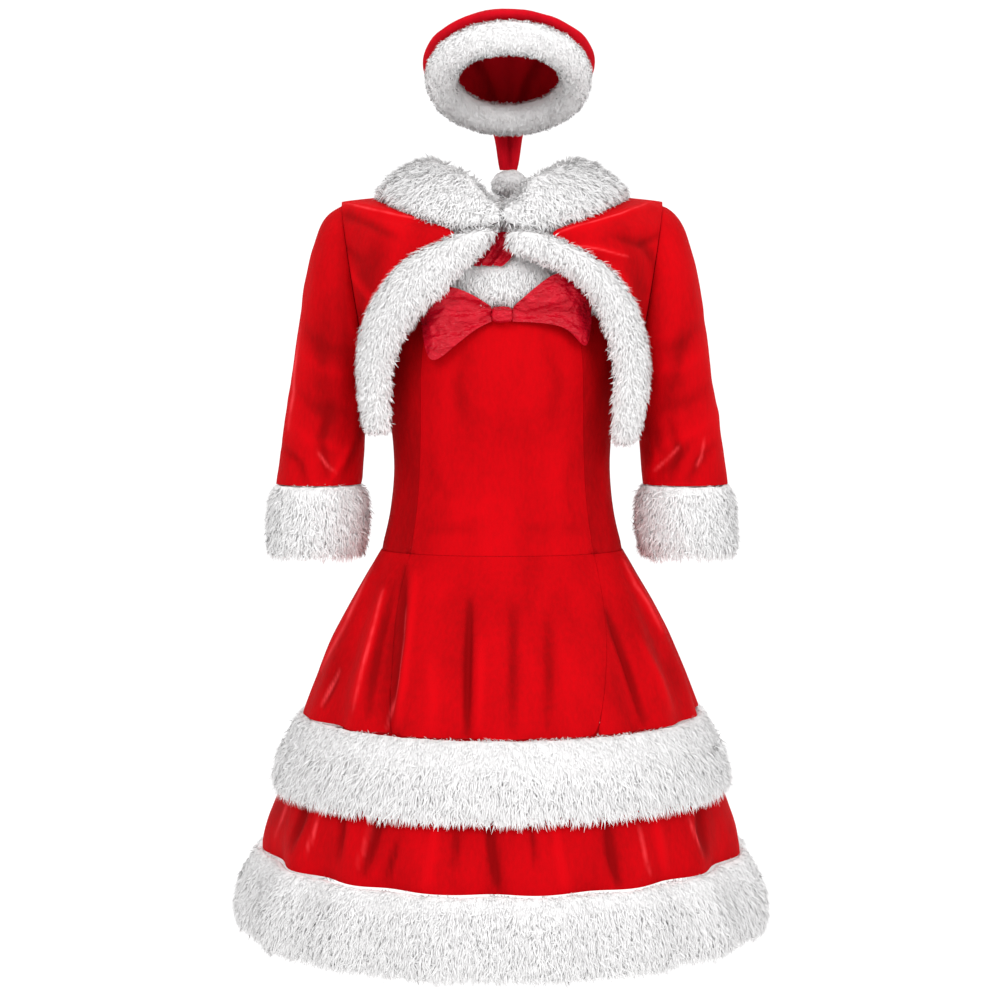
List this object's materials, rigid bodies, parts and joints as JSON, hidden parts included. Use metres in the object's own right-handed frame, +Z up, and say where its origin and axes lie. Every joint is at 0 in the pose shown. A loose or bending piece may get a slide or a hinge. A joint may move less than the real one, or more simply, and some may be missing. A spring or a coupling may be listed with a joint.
{
  "type": "christmas costume dress with shrug and hat",
  "caption": "Velvet costume dress with a bodice, a flared skirt over a gathered tier, fur trims and a satin bow, with a fur-collared shrug and a tailed hat, in their worn hollow form.",
  "frame": {"origin": "on the wearer's centre line, midway between the shoulders and level with them, where the wearer holds the shrug and dress up", "axes": "+X to the viewer's right, +Y from the front to the back, +Z up"},
  "size_m": [0.6105, 0.5254, 1.0419],
  "materials": {
    "velvet": "red velvet, matt with a soft nap",
    "fur": "white long-pile imitation fur",
    "satin": "red satin, crinkled and glossy",
    "hat_velvet": "red velvet, lined"
  },
  "bodies": {
    "root": {"bodice_front": "velvet", "bodice_side_right": "velvet", "bodice_back": "velvet", "bodice_side_left": "velvet", "skirt_front": "velvet", "skirt_side_right": "velvet", "skirt_back": "velvet", "skirt_side_left": "velvet", "ruffle_front": "velvet", "ruffle_back": "velvet", "shrug_front_left": "velvet", "shrug_front_right": "velvet", "shrug_back": "velvet", "sleeve_left": "velvet", "sleeve_right": "velvet", "top_trim_front": "fur", "top_trim_back": "fur", "skirt_fur_front": "fur", "skirt_fur_back": "fur", "hem_fur_front": "fur", "hem_fur_back": "fur", "edge_fur_left": "fur", "edge_fur_right": "fur", "edge_fur_back": "fur", "cuff_fur_left": "fur", "cuff_fur_right": "fur", "collar_left": "fur", "collar_right": "fur", "hat_band": "fur", "hat_pompom": "fur", "bow_loop_left": "satin", "bow_loop_right": "satin", "bow_knot": "satin", "neck_tie": "satin", "hat_crown": "hat_velvet"}
  },
  "joints": []
}
